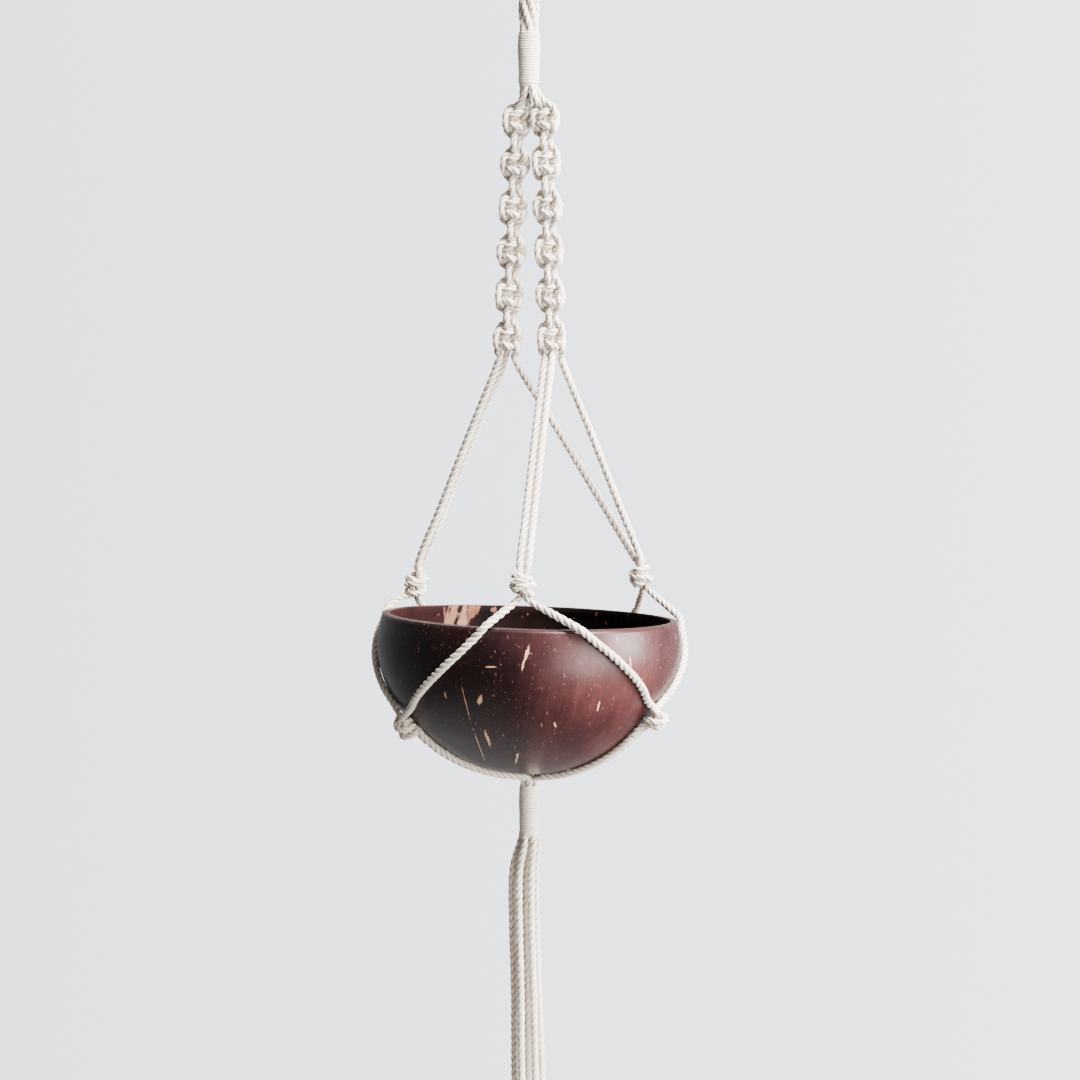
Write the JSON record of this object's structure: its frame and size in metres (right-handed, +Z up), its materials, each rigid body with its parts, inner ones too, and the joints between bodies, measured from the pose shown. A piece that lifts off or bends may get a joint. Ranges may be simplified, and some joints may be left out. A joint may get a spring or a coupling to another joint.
{
  "type": "hanging planter",
  "caption": "Hanging planter: twisted cotton cords tied into knotted sinnets and a cradle round a coconut-shell bowl, with thread bindings, a hanging loop and a tassel.",
  "frame": {"origin": "inside top of the hanging loop, where a hook carries it", "axes": "+Z up along the hanging axis, -Y the front, with the single front leg, +X to the right seen from the front"},
  "size_m": [0.1437, 0.1364, 0.6029],
  "materials": {
    "cotton_cord": "matt three-ply twisted natural cotton cord",
    "binding_thread": "matt fine cotton thread, wound tight",
    "coconut_shell": "polished dark coconut shell with fine fibres, glossy lacquer"
  },
  "bodies": {
    "hanging_loop": {"loop_cord_front": "cotton_cord", "loop_cord_middle": "cotton_cord", "loop_cord_back": "cotton_cord"},
    "neck": {"neck_cords": "cotton_cord"},
    "upper_binding": {"upper_bound_cords": "cotton_cord", "upper_wrap": "binding_thread"},
    "hanger": {"left_sinnet_cords": "cotton_cord", "right_sinnet_cords": "cotton_cord", "left_knot_1": "cotton_cord", "left_knot_2": "cotton_cord", "left_knot_3": "cotton_cord", "left_knot_4": "cotton_cord", "left_knot_5": "cotton_cord", "left_knot_6": "cotton_cord", "right_knot_1": "cotton_cord", "right_knot_2": "cotton_cord", "right_knot_3": "cotton_cord", "right_knot_4": "cotton_cord", "right_knot_5": "cotton_cord", "right_knot_6": "cotton_cord", "front_leg_left_cord": "cotton_cord", "front_leg_right_cord": "cotton_cord", "left_leg_outer_cord": "cotton_cord", "left_leg_inner_cord": "cotton_cord", "right_leg_crossing_cord": "cotton_cord", "right_leg_outer_cord": "cotton_cord", "front_top_knot": "cotton_cord", "right_top_knot": "cotton_cord", "left_top_knot": "cotton_cord", "cradle_cord_front_right": "cotton_cord", "cradle_cord_front_left": "cotton_cord", "cradle_cord_right_front": "cotton_cord", "cradle_cord_right_back": "cotton_cord", "cradle_cord_left_back": "cotton_cord", "cradle_cord_left_front": "cotton_cord", "right_low_knot": "cotton_cord", "back_low_knot": "cotton_cord", "left_low_knot": "cotton_cord", "base_cord_right_1": "cotton_cord", "base_cord_right_2": "cotton_cord", "base_cord_back_1": "cotton_cord", "base_cord_back_2": "cotton_cord", "base_cord_left_1": "cotton_cord", "base_cord_left_2": "cotton_cord"},
    "bowl": {"coconut_bowl": "coconut_shell"},
    "lower_binding": {"lower_wrap": "binding_thread", "lower_bound_cords": "cotton_cord"},
    "tassel_left_end": {"tassel_left": "cotton_cord"},
    "tassel_front_left_end": {"tassel_front_left": "cotton_cord"},
    "tassel_front_right_end": {"tassel_front_right": "cotton_cord"},
    "tassel_right_end": {"tassel_right": "cotton_cord"},
    "tassel_back_right_end": {"tassel_back_right": "cotton_cord"},
    "tassel_back_left_end": {"tassel_back_left": "cotton_cord"}
  },
  "joints": [
    {"name": "swing_fore_aft", "type": "hinge", "parent": "hanging_loop", "child": "neck", "pos_m": [0, 0, -0.0426], "axis": [1, 0, 0], "range_deg": [-25, 25]},
    {"name": "swing_side", "type": "hinge", "parent": "neck", "child": "upper_binding", "pos_m": [0, 0, -0.0522], "axis": [0, 1, 0], "range_deg": [-25, 25]},
    {"name": "hanger_twist", "type": "hinge", "parent": "upper_binding", "child": "hanger", "pos_m": [0, 0, -0.0901], "axis": [0, 0, 1], "range_deg": [-180, 180]},
    {"name": "bowl_turn", "type": "hinge", "parent": "hanger", "child": "bowl", "pos_m": [0, 0, -0.3388], "axis": [0.0332, 0, 0.9995], "continuous": true},
    {"name": "tassel_swing", "type": "hinge", "parent": "hanger", "child": "lower_binding", "pos_m": [0, 0, -0.4002], "axis": [0, 1, 0], "range_deg": [-25, 25]},
    {"name": "tassel_left_splay", "type": "hinge", "parent": "lower_binding", "child": "tassel_left_end", "pos_m": [-0.0038, 0, -0.4264], "axis": [0, 1, 0], "range_deg": [0, 30]},
    {"name": "tassel_front_left_splay", "type": "hinge", "parent": "lower_binding", "child": "tassel_front_left_end", "pos_m": [-0.0019, -0.0033, -0.4264], "axis": [-0.8666, 0.499, 0], "range_deg": [0, 30]},
    {"name": "tassel_front_right_splay", "type": "hinge", "parent": "lower_binding", "child": "tassel_front_right_end", "pos_m": [0.0019, -0.0033, -0.4264], "axis": [-0.8666, -0.499, 0], "range_deg": [0, 30]},
    {"name": "tassel_right_splay", "type": "hinge", "parent": "lower_binding", "child": "tassel_right_end", "pos_m": [0.0038, 0, -0.4264], "axis": [0, -1, 0], "range_deg": [0, 30]},
    {"name": "tassel_back_right_splay", "type": "hinge", "parent": "lower_binding", "child": "tassel_back_right_end", "pos_m": [0.0019, 0.0033, -0.4264], "axis": [0.8666, -0.499, 0], "range_deg": [0, 30]},
    {"name": "tassel_back_left_splay", "type": "hinge", "parent": "lower_binding", "child": "tassel_back_left_end", "pos_m": [-0.0019, 0.0033, -0.4264], "axis": [0.8666, 0.499, 0], "range_deg": [0, 30]}
  ]
}
